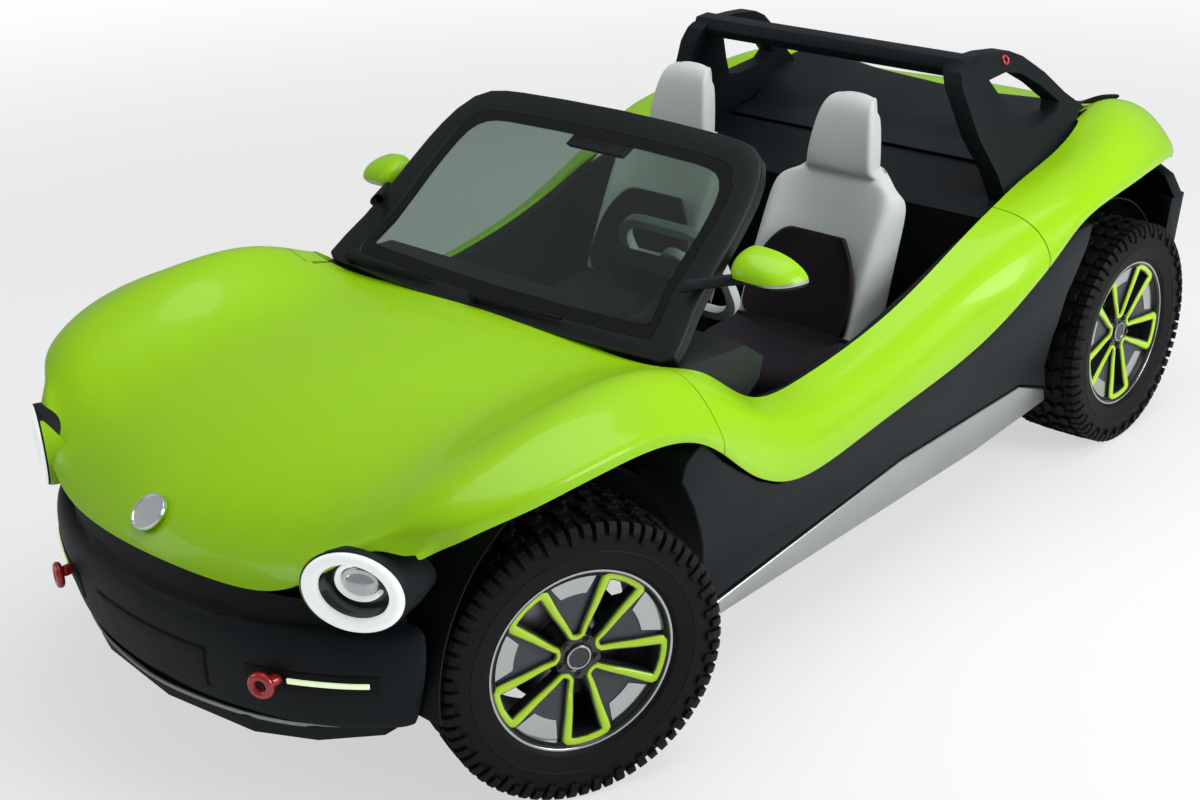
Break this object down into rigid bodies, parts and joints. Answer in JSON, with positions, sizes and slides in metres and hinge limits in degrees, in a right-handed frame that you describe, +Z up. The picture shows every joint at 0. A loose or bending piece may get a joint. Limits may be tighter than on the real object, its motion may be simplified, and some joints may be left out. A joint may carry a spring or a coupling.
{
  "type": "two-seat electric dune buggy",
  "caption": "Open two-seat beach buggy with smooth moulded fenders, round lamps, raked windscreen, roll bar, bucket seats and steered all-terrain wheels that turn.",
  "frame": {"origin": "on the ground under the middle of the whole car's bounding box", "axes": "+Z up, -Y forward, +X to the car's left"},
  "size_m": [1.9886, 4.063, 1.4],
  "materials": {
    "green": "satin",
    "dark": "fine grain",
    "bright": "brushed",
    "red": "gloss",
    "glass": "clear",
    "lens": "dark clear",
    "lamp_white": "lit white",
    "mirror": "polished",
    "cast": "cast",
    "steel": "semi-gloss",
    "dash": "grained",
    "seat": "knit",
    "pad": "woven",
    "tyre": "moulded",
    "rim": "satin black",
    "disc": "turned"
  },
  "bodies": {
    "chassis": {"battery": "cast", "cabin_tub": "dark", "console": "dash", "dampers": "steel", "dashboard": "dash", "door_mirrors": "dark", "drive_motor": "cast", "flanks": "dark", "front_arms": "steel", "front_bumper": "dark", "front_mask": "dark", "front_shell": "green", "front_skid": "bright", "front_subframe": "steel", "half_shafts": "steel", "instrument_pod": "dark", "interior_mirror": "dark", "lamp_housings": "dark", "lamp_lenses": "lens", "lamp_rings": "lamp_white", "mirror_glasses": "mirror", "pedals": "dark", "rear_arms": "steel", "rear_bumper": "dark", "rear_deck": "dark", "rear_knuckles": "cast", "rear_panel": "dark", "rear_shell": "green", "rear_subframe": "steel", "rockers": "bright", "roll_bar": "dark", "seat_pads": "pad", "seat_shell_left": "seat", "seat_shell_right": "seat", "side_shells": "green", "tail_lamps": "dark", "tow_eyes": "red", "wheel_liners": "dark", "windscreen_frame": "dark", "windscreen_glass": "glass", "wipers": "dark"},
    "wheel_fl": {"tyre_front_left": "tyre", "rim_front_left": "rim", "brake_disc_front_left": "disc"},
    "wheel_fr": {"tyre_front_right": "tyre", "rim_front_right": "rim", "brake_disc_front_right": "disc"},
    "wheel_rl": {"tyre_rear_left": "tyre", "rim_rear_left": "rim", "brake_disc_rear_left": "disc"},
    "wheel_rr": {"tyre_rear_right": "tyre", "rim_rear_right": "rim", "brake_disc_rear_right": "disc"},
    "steer_left": {"knuckle_left": "cast"},
    "steer_right": {"knuckle_right": "cast"},
    "hand_wheel": {"steering_wheel": "seat"}
  },
  "joints": [
    {"name": "steer_left", "type": "hinge", "parent": "chassis", "child": "steer_left", "pos_m": [0.69, -1.2815, 0.383], "axis": [0, 0, 1], "range_deg": [-8, 52]},
    {"name": "steer_right", "type": "hinge", "parent": "chassis", "child": "steer_right", "pos_m": [-0.69, -1.2815, 0.383], "axis": [0, 0, 1], "range_deg": [-8, 52]},
    {"name": "hand_wheel_turn", "type": "hinge", "parent": "chassis", "child": "hand_wheel", "pos_m": [0.32525, -0.3417, 0.99904], "axis": [0, 0.8988, 0.4384], "range_deg": [-96, 624]},
    {"name": "spin_front_left", "type": "hinge", "parent": "steer_left", "child": "wheel_fl", "pos_m": [0.69, -1.2815, 0.383], "axis": [0.9272, -0.3746, 0], "continuous": true},
    {"name": "spin_front_right", "type": "hinge", "parent": "steer_right", "child": "wheel_fr", "pos_m": [-0.69, -1.2815, 0.383], "axis": [0.9272, -0.3746, 0], "continuous": true},
    {"name": "spin_rear_left", "type": "hinge", "parent": "chassis", "child": "wheel_rl", "pos_m": [0.69, 1.3685, 0.383], "axis": [1, 0, 0], "continuous": true},
    {"name": "spin_rear_right", "type": "hinge", "parent": "chassis", "child": "wheel_rr", "pos_m": [-0.69, 1.3685, 0.383], "axis": [1, 0, 0], "continuous": true}
  ],
  "couplings": [
    {"joint": "steer_right", "follows": "steer_left", "ratio": 1},
    {"joint": "hand_wheel_turn", "follows": "steer_left", "ratio": 12}
  ]
}
